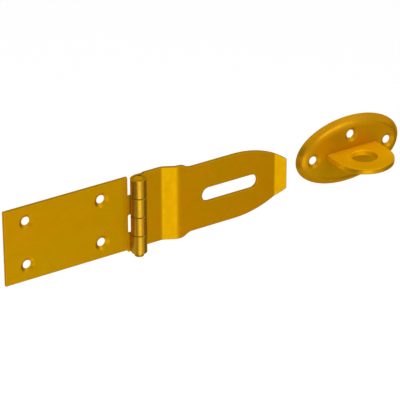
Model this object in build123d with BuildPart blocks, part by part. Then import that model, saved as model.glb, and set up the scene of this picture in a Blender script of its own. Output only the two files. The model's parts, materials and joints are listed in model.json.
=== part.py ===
# A hasp pressed from sheet steel: a screw-on leaf, a slotted strap that is hinged to it by a pin,
# and a separate staple whose eye passes through the slot and takes a padlock.
# Millimetres. The wall is the plane Y = 0 and everything stands out of it towards -Y.
# The origin is the middle of the leaf's four screw holes, on the wall. +Z runs up the hinge pin.
import os
from math import asin, cos, degrees, radians, sin

from build123d import *

os.makedirs("parts", exist_ok=True)

# Sheet of the leaf and the strap
sheet = 1.75
plate_height = 45.0
edge_round = 0.3

# Screw holes, the same in the leaf and the staple
screw_hole_diameter = 5.0
countersink_diameter = 9.0
countersink_angle = 110.0

# Leaf
leaf_hole_spacing_x = 47.0
leaf_hole_spacing_z = 26.4
leaf_end_margin = 13.9  # from the outer screw holes to the free end
leaf_hinge_margin = 21.9  # from the inner screw holes to the hinge axis

# Hinge
knuckle_count = 4
barrel_height = 45.9
barrel_top_inset = 0.3  # from the sheet's top edge down to the barrel
pin_diameter = 5.5
pin_clearance = 0.05  # radial
knuckle_gap = 0.2  # between neighbouring knuckles
knuckle_edge_break = 0.3
seam_gap = 0.25  # from the end of a curl to the sheet it closes on
notch_gap = 0.7  # from the barrel to the sheet beside the other side's knuckles
notch_corner = 0.9
pin_proud = 2.5  # how far the pin stands out at the bottom
pin_tip_round = 1.0
pin_top_chamfer = 0.4

# Strap, with lengths along X from the hinge axis
riser_start = 17.35
riser_run = 7.6
foot_radius = 4.0  # inside of the bend at the riser's foot
crest_radius = 6.5  # inside of the bend at the riser's crest
shoulder_start = 26.35
shoulder_run = 8.0
shoulder_step = 2.5  # how much each side narrows
slot_centre = 59.55
tip_start = 62.35
tip_radius = 60.0
tip_corner = 1.0
lip_start = 89.85
lip_length = 7.6
lip_angle = 20.0
lip_bend_radius = 2.5  # inside of the bend

# Staple dish
dish_sheet = 1.75
dish_length = 72.5
dish_width = 41.5
dish_height = 4.0
dish_rim_run = 3.5  # how far the sloping rim leans in over its height
dish_rim_round = 6.0
dish_hole_spacing = 52.0
dish_top_hole_rise = 10.2
staple_distance = 11.25  # from the strap's tip to the dish, which stands apart from it

# Staple eye
eye_thickness = 3.5
eye_width = 35.0
eye_hole_diameter = 15.0
eye_hole_reach = 12.75  # from the dish's face to the middle of the hole
eye_edge_round = 0.8
tenon_width = 8.0
tenon_spacing = 19.0
tenon_clearance = 0.05
rivet_height = 1.2
rivet_overlap = 0.8
rivet_round = 0.4

# Room that the strap leaves round the eye in its slot
slot_end_clearance = 1.0
slot_side_clearance = 2.5

# Sizes that follow from those above
bore_radius = pin_diameter / 2 + pin_clearance
barrel_radius = bore_radius + sheet
barrel_top = plate_height / 2 - barrel_top_inset
barrel_bottom = barrel_top - barrel_height
knuckle_pitch = barrel_height / knuckle_count
knuckle_height = knuckle_pitch - knuckle_gap
knuckle_levels = [barrel_top - (i + 0.5) * knuckle_pitch for i in range(knuckle_count)]
strap_levels = knuckle_levels[0::2]
leaf_levels = knuckle_levels[1::2]
seam_angle = degrees(asin((barrel_radius - sheet - seam_gap) / barrel_radius))
notch_reach = barrel_radius + notch_gap
axis_x = leaf_hole_spacing_x / 2 + leaf_hinge_margin
leaf_left = -leaf_hole_spacing_x / 2 - leaf_end_margin
leaf_right = axis_x - notch_reach
strap_rise = dish_height
lip_end = lip_start + lip_length * cos(radians(lip_angle))
lip_rise = strap_rise + lip_length * sin(radians(lip_angle))
slot_length = eye_width + 2 * slot_end_clearance
slot_height = eye_thickness + 2 * slot_side_clearance
staple_x = axis_x + lip_end + staple_distance + dish_length / 2
eye_hole_out = dish_height + eye_hole_reach

# Planes on the wall that face out of it, at the hinge and at the staple
hinge_wall = Plane((axis_x, 0, 0), x_dir=(1, 0, 0), z_dir=(0, -1, 0))
staple_wall = Plane((staple_x, 0, 0), x_dir=(1, 0, 0), z_dir=(0, -1, 0))

# One knuckle of the strap, with its axis over the origin: a tongue of sheet that runs in along the wall
# and curls round the pin until it nearly closes on itself
with BuildPart() as knuckle:
    with BuildSketch(Plane.XZ):
        with Locations((notch_reach / 2, 0)):
            Rectangle(notch_reach, knuckle_height)
    extrude(amount=sheet)
    with BuildSketch(Plane((0, -barrel_radius, 0), x_dir=(0, 1, 0), z_dir=(1, 0, 0))) as curl_section:
        with Locations((bore_radius + sheet / 2, 0)):
            Rectangle(sheet, knuckle_height)
        chamfer(curl_section.vertices().group_by(Axis.X)[-1], knuckle_edge_break)
    revolve(axis=Axis((0, -barrel_radius, 0), (0, 0, 1)), revolution_arc=270 + seam_angle)

leaf_knuckle = mirror(knuckle.part, about=Plane.YZ)

# Leaf: a flat plate whose free edges are rounded in front, with knuckles at its hinge side
with BuildPart() as hinge_leaf:
    with BuildSketch(Plane.XZ):
        with Locations(((leaf_left + leaf_right) / 2, 0)):
            Rectangle(leaf_right - leaf_left, plate_height)
    extrude(amount=sheet)
    front_edges = hinge_leaf.faces().sort_by(Axis.Y)[0].edges()
    fillet(front_edges.sort_by(Axis.X)[:-1], edge_round)
    with Locations([(axis_x, 0, level) for level in leaf_levels]):
        add(leaf_knuckle)
    hinge_side = hinge_leaf.edges().filter_by(Axis.Y).group_by(lambda e: round(e.center().X - leaf_right, 3))
    fillet(
        hinge_side.group(0).filter_by_position(Axis.Z, knuckle_levels[-1], knuckle_levels[0]),
        notch_corner,
    )
    with Locations(Plane.XZ.offset(sheet)):
        with GridLocations(leaf_hole_spacing_x, leaf_hole_spacing_z, 2, 2):
            CounterSinkHole(
                radius=screw_hole_diameter / 2,
                counter_sink_radius=countersink_diameter / 2,
                counter_sink_angle=countersink_angle,
            )

hinge_leaf.part.label = "hinge_leaf"
export_step(hinge_leaf.part, "parts/hinge_leaf.step")

# Strap: bent in side view, then trimmed to its outline as seen from the front
with BuildPart() as hasp_strap:
    with BuildSketch(Plane((axis_x, 0, plate_height / 2), x_dir=(1, 0, 0), z_dir=(0, 0, -1))):
        with BuildLine():
            FilletPolyline(
                (notch_reach, 0),
                (riser_start, 0),
                (riser_start + riser_run, strap_rise),
                (lip_start, strap_rise),
                (lip_end, lip_rise),
                radius=[foot_radius + sheet, crest_radius, lip_bend_radius + sheet],
            )
            offset(amount=sheet, side=Side.LEFT)
        make_face()
    extrude(amount=plate_height)
    with BuildSketch(hinge_wall):
        with BuildLine():
            wide = plate_height / 2
            narrow = wide - shoulder_step
            shoulder_end = shoulder_start + shoulder_run
            half_way = (shoulder_start + shoulder_run / 2, wide - shoulder_step / 2)
            past_tip = degrees(asin((lip_end + sheet - tip_start) / tip_radius))
            Polyline((notch_reach, 0), (notch_reach, wide), (shoulder_start, wide))
            falling = TangentArc((shoulder_start, wide), half_way, tangent=(1, 0))
            TangentArc(half_way, (shoulder_end, narrow), tangent=falling % 1)
            Line((shoulder_end, narrow), (tip_start, narrow))
            tip_side = JernArc((tip_start, narrow), (1, 0), tip_radius, -past_tip)
            Line(tip_side @ 1, ((tip_side @ 1).X, 0))
            mirror(about=Plane.XZ)
        make_face()
    extrude(amount=lip_rise + 2 * sheet, both=True, mode=Mode.INTERSECT)
    tip_end = hasp_strap.faces().sort_by(Axis.X)[-1]
    fillet(tip_end.edges().filter_by(Axis.Z, reverse=True), tip_corner)
    with BuildSketch(hinge_wall):
        with Locations((slot_centre, 0)):
            SlotOverall(slot_length, slot_height)
    extrude(amount=lip_rise + 2 * sheet, mode=Mode.SUBTRACT)
    front_faces = hasp_strap.faces().filter_by(lambda f: f.normal_at().Y < -0.5)
    fillet(front_faces.edges().filter_by(Axis.Z, reverse=True), edge_round)
    with Locations([(axis_x, 0, level) for level in strap_levels]):
        add(knuckle.part)
    hinge_side = hasp_strap.edges().filter_by(Axis.Y).group_by(
        lambda e: round(e.center().X - axis_x - notch_reach, 3)
    )
    fillet(
        hinge_side.group(0).filter_by_position(Axis.Z, knuckle_levels[-1], knuckle_levels[0]),
        notch_corner,
    )

hasp_strap.part.label = "hasp_strap"
export_step(hasp_strap.part, "parts/hasp_strap.step")

# Pin: flush with the top of the barrel, with a rounded end below it
with BuildPart() as hinge_pin:
    with BuildSketch(Plane((axis_x, -barrel_radius, barrel_bottom - pin_proud))):
        Circle(pin_diameter / 2)
    extrude(amount=barrel_height + pin_proud)
    fillet(hinge_pin.edges().sort_by(Axis.Z)[0], pin_tip_round)
    chamfer(hinge_pin.edges().sort_by(Axis.Z)[-1], pin_top_chamfer)

hinge_pin.part.label = "hinge_pin"
export_step(hinge_pin.part, "parts/hinge_pin.step")

# Staple dish: an oval pressed hollow, with a sloping rim that sits on the wall
with BuildPart() as staple_base:
    with BuildSketch(staple_wall):
        Ellipse(dish_length / 2, dish_width / 2)
    with BuildSketch(staple_wall.offset(dish_height)):
        Ellipse(dish_length / 2 - dish_rim_run, dish_width / 2 - dish_rim_run)
    loft(ruled=True)
    fillet(staple_base.edges().sort_by(Axis.Y)[0], dish_rim_round)
    offset(amount=-dish_sheet, openings=staple_base.faces().sort_by(Axis.Y)[-1])
    with BuildSketch(staple_wall):
        with GridLocations(tenon_spacing, 0, 2, 1):
            Rectangle(tenon_width + 2 * tenon_clearance, eye_thickness + 2 * tenon_clearance)
    extrude(amount=dish_height, mode=Mode.SUBTRACT)
    with Locations(staple_wall.offset(dish_height)):
        with Locations((-dish_hole_spacing / 2, 0), (dish_hole_spacing / 2, 0), (0, dish_top_hole_rise)):
            CounterSinkHole(
                radius=screw_hole_diameter / 2,
                counter_sink_radius=countersink_diameter / 2,
                counter_sink_angle=countersink_angle,
            )

staple_base.part.label = "staple_base"
export_step(staple_base.part, "parts/staple_base.step")

# Staple eye: a plate with a full-round end, whose two tenons pass through the dish and are riveted behind it
with BuildPart() as staple_eye:
    with BuildSketch(Plane((staple_x, 0, -eye_thickness / 2))):
        with BuildLine():
            half = eye_width / 2
            Polyline((-half, -eye_hole_out), (-half, -dish_height), (half, -dish_height), (half, -eye_hole_out))
            CenterArc((0, -eye_hole_out), half, 180, 180)
        make_face()
        with Locations((0, -eye_hole_out)):
            Circle(eye_hole_diameter / 2, mode=Mode.SUBTRACT)
    extrude(amount=eye_thickness)
    flat_sides = staple_eye.faces().filter_by(Axis.Z)
    fillet(flat_sides.edges().sort_by(Axis.Y)[:-2], eye_edge_round)
    with BuildSketch(staple_wall.offset(dish_height - dish_sheet)):
        with GridLocations(tenon_spacing, 0, 2, 1):
            Rectangle(tenon_width, eye_thickness)
    extrude(amount=dish_sheet)
    with BuildSketch(staple_wall.offset(dish_height - dish_sheet - rivet_height)):
        with GridLocations(tenon_spacing, 0, 2, 1):
            Rectangle(tenon_width + 2 * rivet_overlap, eye_thickness + 2 * rivet_overlap)
    extrude(amount=rivet_height)
    rivet_backs = staple_eye.faces().group_by(Axis.Y)[-1]
    fillet(rivet_backs.edges(), rivet_round)

staple_eye.part.label = "staple_eye"
export_step(staple_eye.part, "parts/staple_eye.step")
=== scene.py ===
"""Looks of a locking hasp and its staple, pressed from sheet steel and plated gold yellow.

Lengths are in metres, in the frame of the solids: the wall is the plane Y = 0, the front faces -Y
and +Z runs up the hinge pin. Angles are in degrees.
"""

import json
import logging
from dataclasses import dataclass
from enum import Enum
from functools import reduce
from math import cos, pi, radians, sin, tan

import bmesh
import bpy
from mathutils import Matrix, Vector


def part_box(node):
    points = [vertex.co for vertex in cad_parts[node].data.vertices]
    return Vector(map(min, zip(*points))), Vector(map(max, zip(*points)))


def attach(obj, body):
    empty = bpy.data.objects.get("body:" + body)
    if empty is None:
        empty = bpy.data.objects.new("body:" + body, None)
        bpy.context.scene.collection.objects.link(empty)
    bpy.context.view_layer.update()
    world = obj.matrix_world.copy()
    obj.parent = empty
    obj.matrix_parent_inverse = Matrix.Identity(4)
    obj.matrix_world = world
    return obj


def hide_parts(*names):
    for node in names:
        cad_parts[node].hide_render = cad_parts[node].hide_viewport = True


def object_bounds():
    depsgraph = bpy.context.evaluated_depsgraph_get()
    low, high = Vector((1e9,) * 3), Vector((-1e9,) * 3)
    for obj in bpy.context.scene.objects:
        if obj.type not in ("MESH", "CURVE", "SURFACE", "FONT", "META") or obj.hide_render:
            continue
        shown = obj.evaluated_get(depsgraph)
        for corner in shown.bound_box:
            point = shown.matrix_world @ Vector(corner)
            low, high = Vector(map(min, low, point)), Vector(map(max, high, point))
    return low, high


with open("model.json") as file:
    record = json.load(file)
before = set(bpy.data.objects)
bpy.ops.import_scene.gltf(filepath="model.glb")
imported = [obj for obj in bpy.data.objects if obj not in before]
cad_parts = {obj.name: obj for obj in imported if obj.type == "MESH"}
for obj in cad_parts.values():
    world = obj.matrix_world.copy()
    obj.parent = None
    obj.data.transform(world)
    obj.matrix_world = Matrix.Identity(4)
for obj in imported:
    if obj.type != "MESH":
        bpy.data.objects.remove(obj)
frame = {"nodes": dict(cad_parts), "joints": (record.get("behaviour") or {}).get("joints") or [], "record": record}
CAD_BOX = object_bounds()
LOG = logging.getLogger("hasp")

Pair = tuple[float, float]
Triple = tuple[float, float, float]
Colour = Triple
Socket = bpy.types.NodeSocket

MM = 0.001
FULL_TURN = 2 * pi
MERGE_DISTANCE = 1e-7

# Numbers of a Mix node's sockets for colours, which share their names with its other sockets.
MIX_SHARE, MIX_FIRST, MIX_SECOND, MIX_RESULT = 0, 6, 7, 2


def direction(azimuth: float, elevation: float) -> Vector:
    """Turns two angles into a direction.

    Args:
        azimuth: Degrees round from the front, towards +X.
        elevation: Degrees above level.

    Returns:
        The direction, one long.
    """
    a, e = radians(azimuth), radians(elevation)
    return Vector((sin(a) * cos(e), -cos(a) * cos(e), sin(e)))


def named(rows: list[dict], name: str) -> dict:
    """Finds a joint or a mount of the frame by its name."""
    return next(row for row in rows if row["name"] == name)


def screw_places(name: str) -> tuple[Pair, ...]:
    """Works out where a mount's screws go into the wall.

    Args:
        name: The mount, which is a pattern of screws or a single one.

    Returns:
        X and Z of each screw.
    """
    row = named(frame["record"]["mounts"], name)
    x, _, z = row["pos_m"]
    half_x = row["dims"].get("spacing_x_mm", 0.0) * MM / 2
    half_z = row["dims"].get("spacing_y_mm", 0.0) * MM / 2
    return tuple(sorted({(x + i * half_x, z + k * half_z) for i in (-1, 1) for k in (-1, 1)}))


class Grain(Enum):
    """Which way the fine marks of rolling, pressing or turning run, as factors along X, Y and Z."""

    ALONG = (0.06, 1.0, 1.0)
    ROUND = (0.2, 0.2, 1.0)
    NONE = (1.0, 1.0, 1.0)


class Axis(Enum):
    """An axis of a piece's own frame."""

    X = "X"
    Y = "Y"
    Z = "Z"


class Line(Enum):
    """Which way a line runs, as 1 for each axis that counts in the distance from it."""

    ALONG_Y = (1.0, 0.0, 1.0)
    ALONG_Z = (1.0, 1.0, 0.0)


class Sum(Enum):
    """A sum that a material works out."""

    ADD = "ADD"
    MULTIPLY = "MULTIPLY"
    MINIMUM = "MINIMUM"
    MAXIMUM = "MAXIMUM"
    ABSOLUTE = "ABSOLUTE"
    SINE = "SINE"


@dataclass(frozen=True)
class Ramp:
    """A range of a value and what its two ends become. Outside the range the result stays level."""

    low: float
    high: float
    to_low: float = 0.0
    to_high: float = 1.0

    @classmethod
    def fall(cls, low: float, high: float) -> "Ramp":
        """Gives a ramp that falls from 1 to 0."""
        return cls(low, high, 1.0, 0.0)


class Bench:
    """A material's node tree with short ways to add and join nodes."""

    def __init__(self, name: str) -> None:
        """Starts an empty material.

        Args:
            name: The material's name.
        """
        self.material = bpy.data.materials.new(name)
        self.material.use_nodes = True
        self.tree = self.material.node_tree
        self.tree.nodes.clear()

    def put(self, socket: Socket, value: object) -> None:
        """Feeds an input.

        Args:
            socket: The input.
            value: The output socket that feeds it, or a plain value.
        """
        if isinstance(value, bpy.types.NodeSocket):
            self.tree.links.new(value, socket)
        elif socket.type == "RGBA":
            socket.default_value = (*value, 1.0)
        else:
            socket.default_value = value

    def add(self, kind: str, inputs: dict | None = None, **settings: object) -> bpy.types.Node:
        """Adds a node.

        Args:
            kind: The node's type name.
            inputs: Socket name or number to a value, or to the output socket that feeds it.
            settings: Properties of the node itself.

        Returns:
            The new node.
        """
        node = self.tree.nodes.new(kind)
        for key, value in settings.items():
            setattr(node, key, value)
        for key, value in (inputs or {}).items():
            self.put(node.inputs[key], value)
        return node

    def place(self) -> Socket:
        """Gives the coordinates of the piece's own frame."""
        return self.add("ShaderNodeTexCoord").outputs["Object"]

    def facing(self) -> Socket:
        """Gives the way that the surface faces, in the piece's own frame."""
        return self.add("ShaderNodeTexCoord").outputs["Normal"]

    def part(self, vector: Socket, axis: Axis) -> Socket:
        """Takes a vector's part along one axis."""
        return self.add("ShaderNodeSeparateXYZ", {"Vector": vector}).outputs[axis.value]

    def stretch(self, where: Socket, factors: Triple, turn: float = 0.0) -> Socket:
        """Turns coordinates about Y and stretches them.

        Args:
            where: The coordinates.
            factors: What X, Y and Z are multiplied by.
            turn: Degrees about Y.

        Returns:
            The new coordinates.
        """
        angle = {"Vector": where, "Angle": radians(turn)}
        turned = self.add("ShaderNodeVectorRotate", angle, rotation_type="Y_AXIS").outputs["Vector"]
        inputs = {0: turned, 1: factors}
        return self.add("ShaderNodeVectorMath", inputs, operation="MULTIPLY").outputs["Vector"]

    def distance(self, where: Socket, line: Line, point: Triple) -> Socket:
        """Measures how far each place lies from a line.

        Args:
            where: The places.
            line: The way that the line runs.
            point: A point of the line, which is 0 along it.

        Returns:
            The distance.
        """
        inputs = {0: self.stretch(where, line.value), 1: point}
        return self.add("ShaderNodeVectorMath", inputs, operation="DISTANCE").outputs["Value"]

    def spread(self, value: Socket, ramp: Ramp) -> Socket:
        """Maps a value by a ramp.

        Args:
            value: What is mapped.
            ramp: The range that it comes from and the range that it goes to.

        Returns:
            The mapped value.
        """
        inputs = {"Value": value, "From Min": ramp.low, "From Max": ramp.high,
                  "To Min": ramp.to_low, "To Max": ramp.to_high}
        return self.add("ShaderNodeMapRange", inputs).outputs["Result"]

    def sum(self, operation: Sum, first: object, second: object = 0.0) -> Socket:
        """Works out a sum of two values, or of the first alone."""
        inputs = {0: first, 1: second}
        return self.add("ShaderNodeMath", inputs, operation=operation.value).outputs["Value"]

    def fold(self, operation: Sum, values: list[Socket]) -> Socket:
        """Works out a sum of several values, two at a time."""
        return reduce(lambda first, second: self.sum(operation, first, second), values)

    def shift(self, value: object, share: Socket, amount: float) -> object:
        """Adds a share of an amount to a value.

        Args:
            value: A value or a socket.
            share: How much of the amount is added at each place.
            amount: What is added at most.

        Returns:
            The new value, or the old one where there is nothing to add.
        """
        if not amount:
            return value
        return self.sum(Sum.ADD, value, self.sum(Sum.MULTIPLY, share, amount))

    def mix(self, share: Socket, first: object, second: object) -> Socket:
        """Mixes two colours.

        Args:
            share: How much of the second.
            first: A colour or a socket.
            second: A colour or a socket.

        Returns:
            The mixed colour.
        """
        inputs = {MIX_SHARE: share, MIX_FIRST: first, MIX_SECOND: second}
        return self.add("ShaderNodeMix", inputs, data_type="RGBA").outputs[MIX_RESULT]

    def bump(self, height: Socket, depth: float, normal: Socket | None = None) -> Socket:
        """Raises the surface by a height.

        Args:
            height: The height, from 0 to 1.
            depth: How deep that is.
            normal: The normal before it, or None for the piece's own.

        Returns:
            The new normal.
        """
        inputs = {"Height": height, "Strength": 1.0, "Distance": depth}
        if normal is not None:
            inputs["Normal"] = normal
        return self.add("ShaderNodeBump", inputs).outputs["Normal"]


@dataclass(frozen=True)
class Marks:
    """Noise on a surface, drawn out along the way that a tool moved. Its scale is features a metre."""

    scale: float
    octaves: float = 2.0
    stretch: Triple = (1.0, 1.0, 1.0)
    roughness: float = 0.55

    def draw(self, bench: Bench, place: Socket, turn: float = 0.0) -> Socket:
        """Adds the noise to a material.

        Args:
            bench: The material being made.
            place: The piece's coordinates.
            turn: Degrees about Y that the marks are turned by.

        Returns:
            Its value, around a half.
        """
        inputs = {"Vector": bench.stretch(place, self.stretch, turn), "Scale": self.scale,
                  "Detail": self.octaves, "Roughness": self.roughness}
        return bench.add("ShaderNodeTexNoise", inputs).outputs["Fac"]


@dataclass(frozen=True)
class Zone:
    """A place where the making of a piece left its plating different from the rest.

    Its strength is how much of its colour shows. Its shifts are added to the roughness and to the
    share of metal there. Its depth is that of its marks, which are a faint orange peel unless the
    zone has its own.
    """

    colour: Colour
    strength: float
    rough_shift: float = 0.0
    metal_shift: float = 0.0
    depth: float = 0.001 * MM
    marks: Marks = Marks(800.0)

    def mask(self, bench: Bench, place: Socket) -> Socket:
        """Finds the zone, as 1 inside it and 0 outside."""
        raise NotImplementedError

    def relief(self, bench: Bench, place: Socket) -> Socket:
        """Gives the height of the zone's tool marks, from 0 to 1."""
        return self.marks.draw(bench, place)


@dataclass(frozen=True)
class RoundZone(Zone):
    """A zone that a radius round a line along Z bounds. It fades over two distances beyond that."""

    axis: Pair = (0.0, 0.0)
    radius: float = 0.0
    fade: Pair = (0.05 * MM, 0.4 * MM)

    def out(self, bench: Bench, place: Socket) -> Socket:
        """Measures the distance from the line."""
        return bench.distance(place, Line.ALONG_Z, (*self.axis, 0.0))

    def ends(self) -> Pair:
        """Gives the two radii that the zone fades between."""
        return self.radius + self.fade[0], self.radius + self.fade[1]

    def mask(self, bench: Bench, place: Socket) -> Socket:
        """Finds what lies within the radius."""
        return bench.spread(self.out(bench, place), Ramp.fall(*self.ends()))


@dataclass(frozen=True)
class HingeCurl(RoundZone):
    """The knuckles, burnished by the tool that curls them, with fine lines round the barrel."""

    marks: Marks = Marks(2400.0, stretch=(0.02, 0.02, 1.0))


@dataclass(frozen=True)
class CurlSideLight(RoundZone):
    """The strip of sheet beside the barrel, painted pale to lift the shade and the dark reflection that the barrel
    gives it, with its drag lines.
    """

    fade: Pair = (0.05 * MM, 0.15 * MM)
    reach: float = 3.5 * MM
    marks: Marks = Marks(1500.0, stretch=(0.05, 1.0, 1.0))

    def mask(self, bench: Bench, place: Socket) -> Socket:
        """Starts beside the barrel and fades out with the distance from the hinge.

        Args:
            bench: The material being made.
            place: The piece's coordinates.

        Returns:
            The mask.
        """
        out = self.out(bench, place)
        start, full = self.ends()
        beside = bench.spread(out, Ramp(start, full))
        fading = bench.spread(out, Ramp.fall(start, start + self.reach))
        return bench.sum(Sum.MULTIPLY, beside, fading)


@dataclass(frozen=True)
class CutEdge(Zone):
    """The sheet's cut edges above and below, sheared through, where the plating is thin and dark."""

    depth: float = 0.003 * MM
    marks: Marks = Marks(1600.0, stretch=(1.0, 0.12, 1.0))
    upright: Ramp = Ramp(0.62, 0.8)

    def mask(self, bench: Bench, place: Socket) -> Socket:
        """Finds what faces up or down."""
        upright = bench.sum(Sum.ABSOLUTE, bench.part(bench.facing(), Axis.Z))
        return bench.spread(upright, self.upright)


@dataclass(frozen=True)
class Countersinks(Zone):
    """The cones cut for the screw heads in front of the sheet's back, with the cutter's rings."""

    centres: tuple[Pair, ...] = ()
    radius: float = 4.5 * MM
    fade: float = 0.1 * MM
    back: float = 0.0
    back_fade: Pair = (-0.25 * MM, -0.15 * MM)
    ring_pitch: float = 0.22 * MM
    wave: Ramp = Ramp(-1.0, 1.0)

    def out(self, bench: Bench, place: Socket) -> Socket:
        """Measures the distance to the nearest screw's axis."""
        outs = [bench.distance(place, Line.ALONG_Y, (x, 0.0, z)) for x, z in self.centres]
        return bench.fold(Sum.MINIMUM, outs)

    def mask(self, bench: Bench, place: Socket) -> Socket:
        """Finds the cones.

        Args:
            bench: The material being made.
            place: The piece's coordinates.

        Returns:
            The mask.
        """
        rim = Ramp.fall(self.radius - self.fade, self.radius + self.fade)
        inside = bench.spread(self.out(bench, place), rim)
        start, end = self.back_fade
        front = bench.spread(bench.part(place, Axis.Y), Ramp.fall(self.back + start, self.back + end))
        return bench.sum(Sum.MULTIPLY, inside, front)

    def relief(self, bench: Bench, place: Socket) -> Socket:
        """Gives rings round each screw's axis."""
        turns = bench.sum(Sum.MULTIPLY, self.out(bench, place), FULL_TURN / self.ring_pitch)
        return bench.spread(bench.sum(Sum.SINE, turns), self.wave)


@dataclass(frozen=True)
class PunchedHole(RoundZone):
    """The wall of a hole punched through thick plate, torn and matt, with its grain through the plate."""

    depth: float = 0.004 * MM
    marks: Marks = Marks(1800.0, octaves=3.0, stretch=(1.0, 1.0, 0.15))


@dataclass(frozen=True)
class SlopeHighlightTint(Zone):
    """The strap's riser and finger lip, painted yellower where they catch the front lamp's highlight, with drag
    lines along the strap.
    """

    spans: tuple[Pair, ...] = ()
    fade: float = 1.2 * MM
    front: Ramp = Ramp.fall(-0.6, -0.3)
    marks: Marks = Marks(1500.0, stretch=(0.05, 0.05, 1.0))

    def mask(self, bench: Bench, place: Socket) -> Socket:
        """Finds what lies between the two ends of a span along X, on the front.

        Args:
            bench: The material being made.
            place: The piece's coordinates.

        Returns:
            The mask.
        """
        x = bench.part(place, Axis.X)
        shares = []
        for start, end in self.spans:
            after = bench.spread(x, Ramp(start - self.fade, start + self.fade))
            before = bench.spread(x, Ramp.fall(end - self.fade, end + self.fade))
            shares.append(bench.sum(Sum.MINIMUM, after, before))
        front = bench.spread(bench.part(bench.facing(), Axis.Y), self.front)
        return bench.sum(Sum.MULTIPLY, front, bench.fold(Sum.MAXIMUM, shares))


@dataclass(frozen=True)
class DrawnRim(Zone):
    """The dish's rim, drawn over the edge of the die, with faint drag marks."""

    front: float = 0.0
    fade: Pair = (0.05 * MM, 0.4 * MM)
    marks: Marks = Marks(900.0, stretch=(1.0, 0.3, 1.0))

    def mask(self, bench: Bench, place: Socket) -> Socket:
        """Finds what lies behind the dish's flat front."""
        start, end = self.fade
        return bench.spread(bench.part(place, Axis.Y), Ramp(self.front + start, self.front + end))


@dataclass(frozen=True)
class StampedEdge(RoundZone):
    """The eye plate's outer edge, cut by the stamp, left darker and more metallic than the plate's faces, whose
    gold is painted lighter as if lit from above.

    Its axis and radius are those of the hole, which it keeps away from.
    """

    depth: float = 0.003 * MM
    marks: Marks = Marks(1600.0, stretch=(1.0, 1.0, 0.12))
    fade: Pair = (0.8 * MM, 1.2 * MM)
    half_thickness: float = 1.75 * MM
    middle: Pair = (0.5, 0.95)

    def mask(self, bench: Bench, place: Socket) -> Socket:
        """Finds the middle of the plate's thickness, away from the hole.

        Args:
            bench: The material being made.
            place: The piece's coordinates.

        Returns:
            The mask.
        """
        height = bench.sum(Sum.ABSOLUTE, bench.part(place, Axis.Z))
        near, far = (share * self.half_thickness for share in self.middle)
        side = bench.spread(height, Ramp.fall(near, far))
        away = bench.spread(self.out(bench, place), Ramp(*self.ends()))
        return bench.sum(Sum.MULTIPLY, side, away)


@dataclass(frozen=True)
class SideReflection(StampedEdge):
    """The eye plate's straight sides, painted bright: a painted reflection on them."""

    depth: float = 0.001 * MM
    start: float = 0.0
    end: float = 0.0

    def mask(self, bench: Bench, place: Socket) -> Socket:
        """Finds the outer edge where it runs straight, and fades out round the end."""
        straight = bench.spread(bench.part(place, Axis.Y), Ramp(self.start, self.end))
        return bench.sum(Sum.MULTIPLY, straight, super().mask(bench, place))


@dataclass(frozen=True)
class TipShade(Zone):
    """The eye's outer end, painted a deeper gold: painted shade that evens out the eye's light, brighter there
    than near the dish.
    """

    start: float = 0.0
    end: float = 0.0

    def mask(self, bench: Bench, place: Socket) -> Socket:
        """Fades in along Y from the start to the end."""
        return bench.spread(bench.part(place, Axis.Y), Ramp(self.start, self.end))


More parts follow.
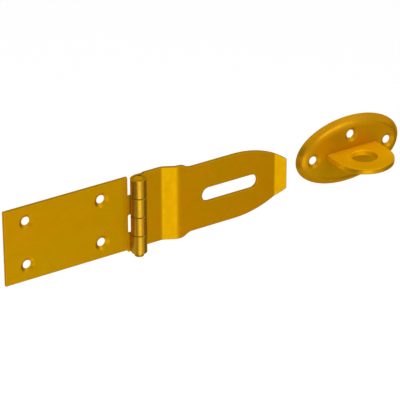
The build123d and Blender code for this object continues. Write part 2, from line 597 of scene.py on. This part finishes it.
@dataclass(frozen=True)
class PlatedFinish:
    """Yellow passivated zinc on pressed steel: a satin gold, thin at the edges, with painted shade in its inside
    corners.

    The tints warm, olive, deep and pale multiply the colour. Each ramp says where a noise or a
    shape begins to show and how strongly it does.
    """

    name: str
    grain: Grain
    colour: Colour = (0.488, 0.242, 0.0006)
    metal_share: float = 0.85
    glancing: Colour = (0.80, 0.50, 0.02)

    # Drift of the hue, mottling and grain
    warm: Triple = (1.055, 0.978, 1.0)
    olive: Triple = (0.945, 1.033, 1.0)
    hue: Marks = Marks(32.0, octaves=3.0)
    hue_ramp: Ramp = Ramp(0.36, 0.64)
    deep: Triple = (0.90, 0.88, 1.0)
    mottle: Marks = Marks(160.0, octaves=4.0)
    mottle_ramp: Ramp = Ramp(0.35, 0.75, 0.0, 0.45)
    pale: Triple = (1.10, 1.12, 3.0)
    grain_scale: float = 2600.0
    grain_ramp: Ramp = Ramp(0.45, 0.75, 0.0, 0.5)
    grain_depth: float = 0.0012 * MM

    # Satin sheen with a faint orange peel
    haze: Marks = Marks(240.0, octaves=4.0)
    rough_ramp: Ramp = Ramp(0.3, 0.7, 0.29, 0.40)
    peel: Marks = Marks(650.0)
    peel_depth: float = 0.004 * MM

    # Thin plating along the edges
    edge: Colour = (0.56, 0.29, 0.003)
    edge_radius: float = 0.5 * MM
    edge_samples: int = 6
    edge_ramp: Ramp = Ramp(0.97, 0.85, 0.0, 0.6)
    edge_break: Ramp = Ramp(0.35, 0.65, 0.6, 1.0)

    # Painted shade: the inside corners darkened where ambient occlusion finds them
    painted_corner_shade: Colour = (0.33, 0.16, 0.0008)
    corner_reach: float = 1.2 * MM
    corner_samples: int = 16
    corner_ramp: Ramp = Ramp(0.2, 0.7, 0.5, 0.0)

    # Scuffs, as short streaks in patches
    scuff: Colour = (0.60, 0.34, 0.010)
    streaks: Marks = Marks(1500.0, octaves=1.0, stretch=(0.06, 1.0, 1.0))
    streak_turns: Pair = (24.0, -38.0)
    streak_ramp: Ramp = Ramp(0.70, 0.76, 0.0, 0.5)
    patches: Marks = Marks(90.0, octaves=1.0)
    patch_ramp: Ramp = Ramp(0.5, 0.7)
    scuff_rough_shift: float = 0.15

    def material(self, zones: tuple[Zone, ...] = ()) -> bpy.types.Material:
        """Builds the node material.

        Args:
            zones: The places that differ from the rest.

        Returns:
            The finished material.
        """
        bench = Bench(self.name)
        place = bench.place()
        grain = Marks(self.grain_scale, stretch=self.grain.value).draw(bench, place)
        scuffs = self.scuff_share(bench, place)

        colour = self.tone(bench, place, grain)
        metal = self.metal_share
        rough = bench.spread(self.haze.draw(bench, place), self.rough_ramp)
        normal = bench.bump(self.peel.draw(bench, place), self.peel_depth)
        normal = bench.bump(grain, self.grain_depth, normal)
        for zone in zones:
            mask = zone.mask(bench, place)
            colour = bench.mix(bench.sum(Sum.MULTIPLY, mask, zone.strength), colour, zone.colour)
            metal = bench.shift(metal, mask, zone.metal_shift)
            rough = bench.shift(rough, mask, zone.rough_shift)
            relief = bench.sum(Sum.MULTIPLY, zone.relief(bench, place), mask)
            normal = bench.bump(relief, zone.depth, normal)
        colour = bench.mix(self.edge_share(bench, grain), colour, self.edge)
        colour = bench.mix(scuffs, colour, self.scuff)
        # painted shade: the inside corners are darkened by ambient occlusion
        colour = bench.mix(self.painted_shade_share(bench), colour, self.painted_corner_shade)
        rough = bench.shift(rough, scuffs, self.scuff_rough_shift)

        shader = bench.add("ShaderNodeBsdfPrincipled", {
            "Base Color": colour, "Metallic": metal, "Roughness": rough, "Normal": normal,
            "Specular IOR Level": 0.0, "Specular Tint": self.glancing})
        bench.add("ShaderNodeOutputMaterial", {"Surface": shader.outputs["BSDF"]})
        return bench.material

    def tint(self, factors: Triple) -> Colour:
        """Multiplies the plating's own colour."""
        return tuple(value * factor for value, factor in zip(self.colour, factors))

    def tone(self, bench: Bench, place: Socket, grain: Socket) -> Socket:
        """Mixes the gold: broad drifts from warm to olive, mottled, with the marks of rolling.

        Args:
            bench: The material being made.
            place: The piece's coordinates.
            grain: The fine marks of rolling.

        Returns:
            The colour.
        """
        drift = bench.spread(self.hue.draw(bench, place), self.hue_ramp)
        hue = bench.mix(drift, self.tint(self.warm), self.tint(self.olive))
        blots = bench.spread(self.mottle.draw(bench, place), self.mottle_ramp)
        mottled = bench.mix(blots, hue, self.tint(self.deep))
        return bench.mix(bench.spread(grain, self.grain_ramp), mottled, self.tint(self.pale))

    def edge_share(self, bench: Bench, grain: Socket) -> Socket:
        """Finds the edges by how far a rounded normal leaves the true one.

        Args:
            bench: The material being made.
            grain: The fine marks that break the edge up.

        Returns:
            How worn the plating is, from 0 to 1.
        """
        true = bench.add("ShaderNodeNewGeometry").outputs["Normal"]
        bevel = bench.add("ShaderNodeBevel", {"Radius": self.edge_radius}, samples=self.edge_samples)
        inputs = {0: true, 1: bevel.outputs["Normal"]}
        alike = bench.add("ShaderNodeVectorMath", inputs, operation="DOT_PRODUCT").outputs["Value"]
        near = bench.spread(alike, self.edge_ramp)
        return bench.sum(Sum.MULTIPLY, near, bench.spread(grain, self.edge_break))

    def painted_shade_share(self, bench: Bench) -> Socket:
        """Finds the inside corners by ambient occlusion, where shade is painted into the colour.

        Args:
            bench: The material being made.

        Returns:
            How dull the plating is, from 0 to 1.
        """
        inputs = {"Distance": self.corner_reach}
        shade_occlusion = bench.add("ShaderNodeAmbientOcclusion", inputs, samples=self.corner_samples)
        return bench.spread(shade_occlusion.outputs["AO"], self.corner_ramp)

    def scuff_share(self, bench: Bench, place: Socket) -> Socket:
        """Finds the few short scuffs that pieces get from each other in the plating barrel.

        Args:
            bench: The material being made.
            place: The piece's coordinates.

        Returns:
            How scuffed the plating is, from 0 to 1.
        """
        streaks = [self.streaks.draw(bench, place, turn) for turn in self.streak_turns]
        lines = bench.spread(bench.fold(Sum.MAXIMUM, streaks), self.streak_ramp)
        patches = bench.spread(self.patches.draw(bench, place), self.patch_ramp)
        return bench.sum(Sum.MULTIPLY, lines, patches)


def dress(node: str, material: bpy.types.Material) -> bpy.types.Object:
    """Gives a solid its finish.

    Args:
        node: The solid's name.
        material: Its finish.

    Returns:
        The dressed object.
    """
    piece = frame["nodes"][node]
    piece.data.materials.clear()
    piece.data.materials.append(material)
    return piece


@dataclass
class Hasp:
    """The screw-on leaf, the strap that swings on it, and the pin that joins them.

    The riser and the lip are spans along X, and the lip's runs on past the end of the strap. On the
    pin's head, places are given in crowns down from its top, and the dimple's points have their
    radii first, as shares of the pin's.
    """

    barrel_radius: float = 4.55 * MM
    riser: Pair = (61.6 * MM, 70.35 * MM)
    lip: Pair = (134.3 * MM, 150.0 * MM)
    pin_radius: float = 2.75 * MM
    pin_tip_round: float = 1.0 * MM
    pin_crown: float = 0.35 * MM
    pin_shoulder: float = 1.4
    pin_dimple: tuple[Pair, ...] = ((0.6, 0.35), (0.3, 0.0), (0.12, 0.25), (0.0, 0.35))
    pin_sides: int = 96
    pin_arc_steps: int = 8
    strap_gold: Colour = (0.472, 0.21, 0.0006)
    pin_gold: Colour = (0.36, 0.19, 0.002)
    # painted light: the pale colour of the strip beside the barrel, where the barrel shades it
    pale: Colour = (0.74, 0.38, 0.003)
    burnished: Colour = (0.395, 0.222, 0.016)
    sheared: Colour = (0.22, 0.125, 0.002)
    cut: Colour = (0.50, 0.25, 0.001)
    # painted highlight: the yellower colour of the riser and the lip where the front lamp shines
    painted_highlight_colour: Colour = (0.39, 0.213, 0.0008)

    def hinge_axis(self) -> Pair:
        """Gives X and Y of the hinge, from the frame's joint."""
        x, y, _ = named(frame["joints"], "strap_hinge")["pos_m"]
        return x, y

    def build(self) -> list[bpy.types.Object]:
        """Builds and dresses the leaf, the strap and the pin.

        Returns:
            The pieces.
        """
        barrel = {"axis": self.hinge_axis(), "radius": self.barrel_radius}
        # painted light beside the barrel, lifting the shade there
        curl_side_light = CurlSideLight(self.pale, strength=1.0, metal_shift=-0.5, **barrel)
        curl = HingeCurl(self.burnished, strength=0.7, rough_shift=-0.05, **barrel)
        edges = CutEdge(self.sheared, strength=0.9, rough_shift=0.08)
        cones = Countersinks(self.cut, strength=0.35, centres=screw_places("leaf_screws"))
        # painted highlight tint on the riser and the lip
        slope_highlight_tint = SlopeHighlightTint(self.painted_highlight_colour, strength=0.8, spans=(self.riser, self.lip))
        leaf_finish = PlatedFinish("leaf_plating", Grain.ALONG)
        strap_finish = PlatedFinish("strap_plating", Grain.ALONG, colour=self.strap_gold)
        leaf = dress("hinge_leaf", leaf_finish.material((curl_side_light, curl, edges, cones)))
        strap = dress("hasp_strap", strap_finish.material((curl, edges, slope_highlight_tint)))
        return [leaf, strap, self.build_pin()]

    def pin_profile(self) -> list[Pair]:
        """Draws half the pin's section, from the middle of its round foot to that of its peened head.

        Returns:
            Radius and height of each point.
        """
        low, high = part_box("hinge_pin")
        r, tip, crown = self.pin_radius, self.pin_tip_round, self.pin_crown
        turns = [FULL_TURN / 4 * i / self.pin_arc_steps for i in range(self.pin_arc_steps + 1)]
        foot = [(r - tip + tip * sin(a), low.z + tip - tip * cos(a)) for a in turns]
        shoulder = high.z - self.pin_shoulder * crown
        head = [(r - crown + crown * cos(a), shoulder + crown * sin(a)) for a in turns]
        dimple = [(share * r, high.z - drop * crown) for share, drop in self.pin_dimple]
        return [(0.0, low.z)] + foot + head + dimple

    def build_pin(self) -> bpy.types.Object:
        """Turns the pin about the hinge axis.

        Returns:
            The pin, in the place of its solid.
        """
        x, y = self.hinge_axis()
        build = bmesh.new()
        spine = [build.verts.new((x + radius, y, z)) for radius, z in self.pin_profile()]
        edges = [build.edges.new(pair) for pair in zip(spine, spine[1:])]
        bmesh.ops.spin(build, geom=spine + edges, cent=(x, y, 0.0), axis=(0.0, 0.0, 1.0),
                       angle=FULL_TURN, steps=self.pin_sides, use_merge=True)
        bmesh.ops.remove_doubles(build, verts=build.verts, dist=MERGE_DISTANCE)
        bmesh.ops.recalc_face_normals(build, faces=build.faces)
        mesh = bpy.data.meshes.new("turned_pin")
        build.to_mesh(mesh)
        build.free()
        mesh.shade_smooth()
        finish = PlatedFinish("pin_plating", Grain.ROUND, colour=self.pin_gold)
        mesh.materials.append(finish.material())
        pin = bpy.data.objects.new("turned_pin", mesh)
        bpy.context.scene.collection.objects.link(pin)
        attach(pin, "fixed")
        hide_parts("hinge_pin")
        return pin


@dataclass
class Staple:
    """The oval dish and the eye plate that is riveted in it.

    The eye's gold is painted deeper between two places along Y, a painted shade, and its sides are painted
    brighter, a painted reflection, between two places along Y from its hole's axis.
    """

    sheet: float = 1.75 * MM
    eye_thickness: float = 3.5 * MM
    tip_shade_span: Pair = (-8.0 * MM, -30.0 * MM)
    side_reflection_span: Pair = (-12.0 * MM, 2.0 * MM)
    dish_gold: Colour = (0.45, 0.21, 0.0006)
    dish_metal: float = 0.5
    drawn: Colour = (0.38, 0.178, 0.004)
    cut: Colour = (0.42, 0.19, 0.001)
    # painted light: the eye's gold is lighter than the other parts', standing in for light from above on its faces
    eye_gold_with_painted_light: Colour = (0.655, 0.315, 0.0008)
    eye_metal: float = 0.35
    # painted shade: the deeper gold of the eye's outer end
    deep: Colour = (0.46, 0.22, 0.0006)
    torn: Colour = (0.66, 0.29, 0.0008)
    # the eye's edge keeps a darker gold, below the painted light on its faces
    sheared: Colour = (0.45, 0.215, 0.002)
    # painted reflection: the bright colour of the eye's straight sides
    painted_highlight_colour: Colour = (0.78, 0.37, 0.003)

    def build(self) -> list[bpy.types.Object]:
        """Dresses the dish and the eye."""
        return [self.build_dish(), self.build_eye()]

    def build_dish(self) -> bpy.types.Object:
        """Dresses the dish.

        Returns:
            The dish.
        """
        low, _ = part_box("staple_base")
        screws = screw_places("staple_side_screws") + screw_places("staple_top_screw")
        rim = DrawnRim(self.drawn, strength=0.8, rough_shift=-0.10, front=low.y)
        cones = Countersinks(self.cut, strength=0.35, rough_shift=0.12, centres=screws,
                             back=low.y + self.sheet)
        finish = PlatedFinish("dish_plating", Grain.NONE, colour=self.dish_gold,
                              metal_share=self.dish_metal)
        return dress("staple_base", finish.material((rim, cones)))

    def build_eye(self) -> bpy.types.Object:
        """Dresses the eye.

        Returns:
            The eye.
        """
        bore = named(frame["record"]["mounts"], "eye_hole")
        x, y, _ = bore["pos_m"]
        round_hole = {"axis": (x, y), "radius": bore["dims"]["r_mm"] * MM}
        plate = {**round_hole, "half_thickness": self.eye_thickness / 2}
        start, end = self.tip_shade_span
        tip = TipShade(self.deep, strength=1.0, start=start, end=end)
        hole = PunchedHole(self.torn, strength=0.6, rough_shift=0.18, **round_hole)
        edge = StampedEdge(self.sheared, strength=0.9, rough_shift=-0.04, metal_shift=0.25, **plate)
        start, end = self.side_reflection_span
        sides = SideReflection(self.painted_highlight_colour, strength=0.95, start=y + start, end=y + end, **plate)
        finish = PlatedFinish("eye_plating", Grain.ALONG, colour=self.eye_gold_with_painted_light,
                              metal_share=self.eye_metal)
        return dress("staple_eye", finish.material((tip, hole, edge, sides)))


def flat_card(name: str, width: float, height: float, colour: Colour) -> bpy.types.Object:
    """Makes a flat matt card that belongs to the studio.

    Args:
        name: Its name.
        width: Its size along X.
        height: Its size along Y.
        colour: Its colour.

    Returns:
        The card, flat at the origin.
    """
    w, h = width / 2, height / 2
    mesh = bpy.data.meshes.new(name)
    mesh.from_pydata([(-w, -h, 0), (w, -h, 0), (w, h, 0), (-w, h, 0)], [], [(0, 1, 2, 3)])
    bench = Bench(name)
    shader = bench.add("ShaderNodeBsdfDiffuse", {"Color": colour})
    bench.add("ShaderNodeOutputMaterial", {"Surface": shader.outputs["BSDF"]})
    mesh.materials.append(bench.material)
    card = bpy.data.objects.new(name, mesh)
    bpy.context.scene.collection.objects.link(card)
    return card


@dataclass(frozen=True, kw_only=True)
class Stand:
    """A flat thing of the studio that faces the object's middle, or a point aside from it along X."""

    name: str
    azimuth: float
    elevation: float
    distance: float
    width: float
    height: float
    aside: float = 0.0

    def make(self) -> bpy.types.Object:
        """Makes the thing, flat at the origin."""
        raise NotImplementedError

    def build(self, centre: Vector) -> None:
        """Makes the thing and stands it in its place. The camera looks through it.

        Args:
            centre: The object's middle.
        """
        out = direction(self.azimuth, self.elevation)
        thing = self.make()
        thing.location = centre + Vector((self.aside, 0.0, 0.0)) + out * self.distance
        thing.rotation_euler = out.to_track_quat("Z", "Y").to_euler()
        thing.visible_camera = False


@dataclass(frozen=True, kw_only=True)
class Softbox(Stand):
    """A soft lamp, whose light a grid can narrow to a cone of that many degrees.

    Its level is its brightness seen straight on, where that of a white room is 1.
    """

    level: float
    grid: float = 180.0

    def make(self) -> bpy.types.Object:
        """Makes the lamp. A grid would brighten its middle, so the energy comes down with the grid.

        Returns:
            The lamp, flat at the origin.
        """
        half_grid = radians(self.grid) / 2
        data = bpy.data.lights.new(self.name, "AREA")
        data.shape = "RECTANGLE"
        data.size = self.width
        data.size_y = self.height
        data.spread = 2 * half_grid
        data.energy = self.level * pi * self.width * self.height * (1 - half_grid / tan(half_grid))
        lamp = bpy.data.objects.new(self.name, data)
        bpy.context.scene.collection.objects.link(lamp)
        return lamp


@dataclass(frozen=True, kw_only=True)
class Flag(Stand):
    """A dark card, which gives the object's curved sides dark edges."""

    colour: Colour = (0.16, 0.145, 0.13)

    def make(self) -> bpy.types.Object:
        """Makes the card."""
        return flat_card(self.name, self.width, self.height, self.colour)


@dataclass
class Studio:
    """A white room with a pale floor, soft lamps and dark cards."""

    floor_drop: float = 0.95
    floor_size: float = 12.0
    floor_colour: Colour = (0.97, 0.97, 0.97)
    room_colour: Colour = (1.0, 1.0, 1.0)
    room_level: float = 1.0
    lamps: tuple[Softbox, ...] = (
        Softbox(name="front_softbox", azimuth=-17.0, elevation=-20.0, distance=1.25,
                width=0.84, height=1.0, level=1.6),
        Softbox(name="rim_softbox", azimuth=20.0, elevation=31.0, distance=0.26,
                width=0.17, height=0.17, level=3.2, aside=0.096, grid=60.0),
        Softbox(name="hinge_softbox", azimuth=-98.0, elevation=-35.0, distance=0.08,
                width=0.05, height=0.03, level=0.7, aside=-0.049),
        Softbox(name="right_softbox", azimuth=55.0, elevation=46.0, distance=1.3,
                width=0.6, height=0.5, level=0.6),
        Softbox(name="top_softbox", azimuth=0.0, elevation=88.0, distance=1.25,
                width=0.8, height=0.8, level=2.6),
        Softbox(name="back_softbox", azimuth=150.0, elevation=30.0, distance=1.3,
                width=1.0, height=0.8, level=0.4),
    )
    flags: tuple[Flag, ...] = (
        Flag(name="right_flag", azimuth=74.0, elevation=-25.0, distance=0.9,
             width=0.9, height=1.0),
        Flag(name="left_flag", azimuth=-85.0, elevation=-25.0, distance=0.9,
             width=0.9, height=1.0, colour=(0.28, 0.255, 0.23)),
        Flag(name="upper_flag", azimuth=-52.0, elevation=24.0, distance=0.9,
             width=0.5, height=0.6),
    )

    def build(self) -> None:
        """Sets up the room, the floor, the lamps and the cards."""
        low, high = CAD_BOX
        centre = (low + high) / 2
        world = bpy.data.worlds.new("white_room")
        world.use_nodes = True
        room = world.node_tree.nodes["Background"]
        room.inputs["Color"].default_value = (*self.room_colour, 1.0)
        room.inputs["Strength"].default_value = self.room_level
        bpy.context.scene.world = world
        floor = flat_card("pale_floor", self.floor_size, self.floor_size, self.floor_colour)
        floor.location = (centre.x, centre.y, centre.z - self.floor_drop)
        for stand in self.lamps + self.flags:
            stand.build(centre)
        bpy.context.scene.view_settings.view_transform = "Standard"


@dataclass
class PhotoCamera:
    """The camera, at the photograph's viewing angle. Its sensor is measured in millimetres."""

    azimuth: float = -32.762
    elevation: float = 26.972
    roll: float = -0.204
    distance: float = 1.5127
    target: Triple = (0.088563, 0.0, -0.005517)
    focal_pixels: float = 2694.4
    picture_pixels: float = 400.0
    sensor_width: float = 36.0

    def build(self) -> bpy.types.Object:
        """Places the camera.

        Returns:
            The camera.
        """
        a, r = radians(self.azimuth), radians(self.roll)
        back = direction(self.azimuth, self.elevation)
        level_right = Vector((cos(a), sin(a), 0.0))
        level_up = back.cross(level_right)
        right = cos(r) * level_right + sin(r) * level_up
        up = cos(r) * level_up - sin(r) * level_right
        data = bpy.data.cameras.new("photo_camera")
        data.sensor_width = self.sensor_width
        data.lens = self.focal_pixels * self.sensor_width / self.picture_pixels
        camera = bpy.data.objects.new("photo_camera", data)
        turn = Matrix((right, up, back)).transposed().to_4x4()
        camera.matrix_world = Matrix.Translation(Vector(self.target) + back * self.distance) @ turn
        bpy.context.scene.collection.objects.link(camera)
        bpy.context.scene.camera = camera
        return camera


def main() -> None:
    """Builds every piece in order."""
    logging.basicConfig(level=logging.INFO, format="%(name)s: %(message)s")
    for assembly in (Hasp(), Staple()):
        for piece in assembly.build():
            LOG.info("dressed %s", piece.name)
    Studio().build()
    LOG.info("built the studio")
    camera = PhotoCamera().build()
    LOG.info("placed %s", camera.name)


if __name__ == "__main__":
    main()
